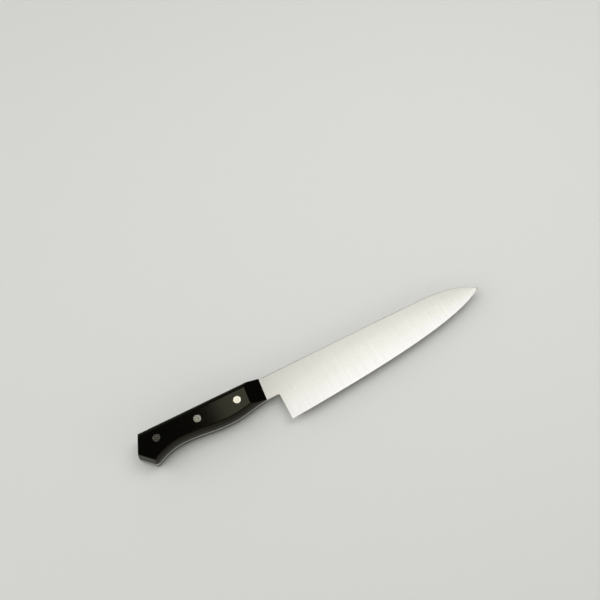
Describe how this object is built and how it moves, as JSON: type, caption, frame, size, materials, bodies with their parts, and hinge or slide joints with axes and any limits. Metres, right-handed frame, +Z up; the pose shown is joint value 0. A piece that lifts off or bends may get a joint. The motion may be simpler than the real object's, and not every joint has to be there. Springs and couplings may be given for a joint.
{
  "type": "gyuto knife",
  "caption": "Gyuto chef's knife: long pointed blade with a full tang, riveted black handle scales, square butt and curved underside.",
  "frame": {"origin": "point of the left scale's flat outer face midway between the front and middle rivets, where the knife lies on a table", "axes": "+X along the spine from the handle towards the tip, +Y from the cutting edge towards the spine, +Z up through the knife's right side as it lies on its left"},
  "size_m": [0.3385, 0.0468, 0.019],
  "materials": {
    "blade_steel": "stainless, satin ground faces, brighter polished bevel along the cutting edge",
    "handle_laminate": "black resin-impregnated laminated wood, satin polished",
    "rivet_steel": "stainless, heads polished flush with the scales"
  },
  "bodies": {
    "root": {"blade": "blade_steel", "right_scale": "handle_laminate", "left_scale": "handle_laminate", "front_rivet_sleeve": "rivet_steel", "front_rivet_pin": "rivet_steel", "middle_rivet_sleeve": "rivet_steel", "middle_rivet_pin": "rivet_steel", "butt_rivet_sleeve": "rivet_steel", "butt_rivet_pin": "rivet_steel"}
  },
  "joints": []
}
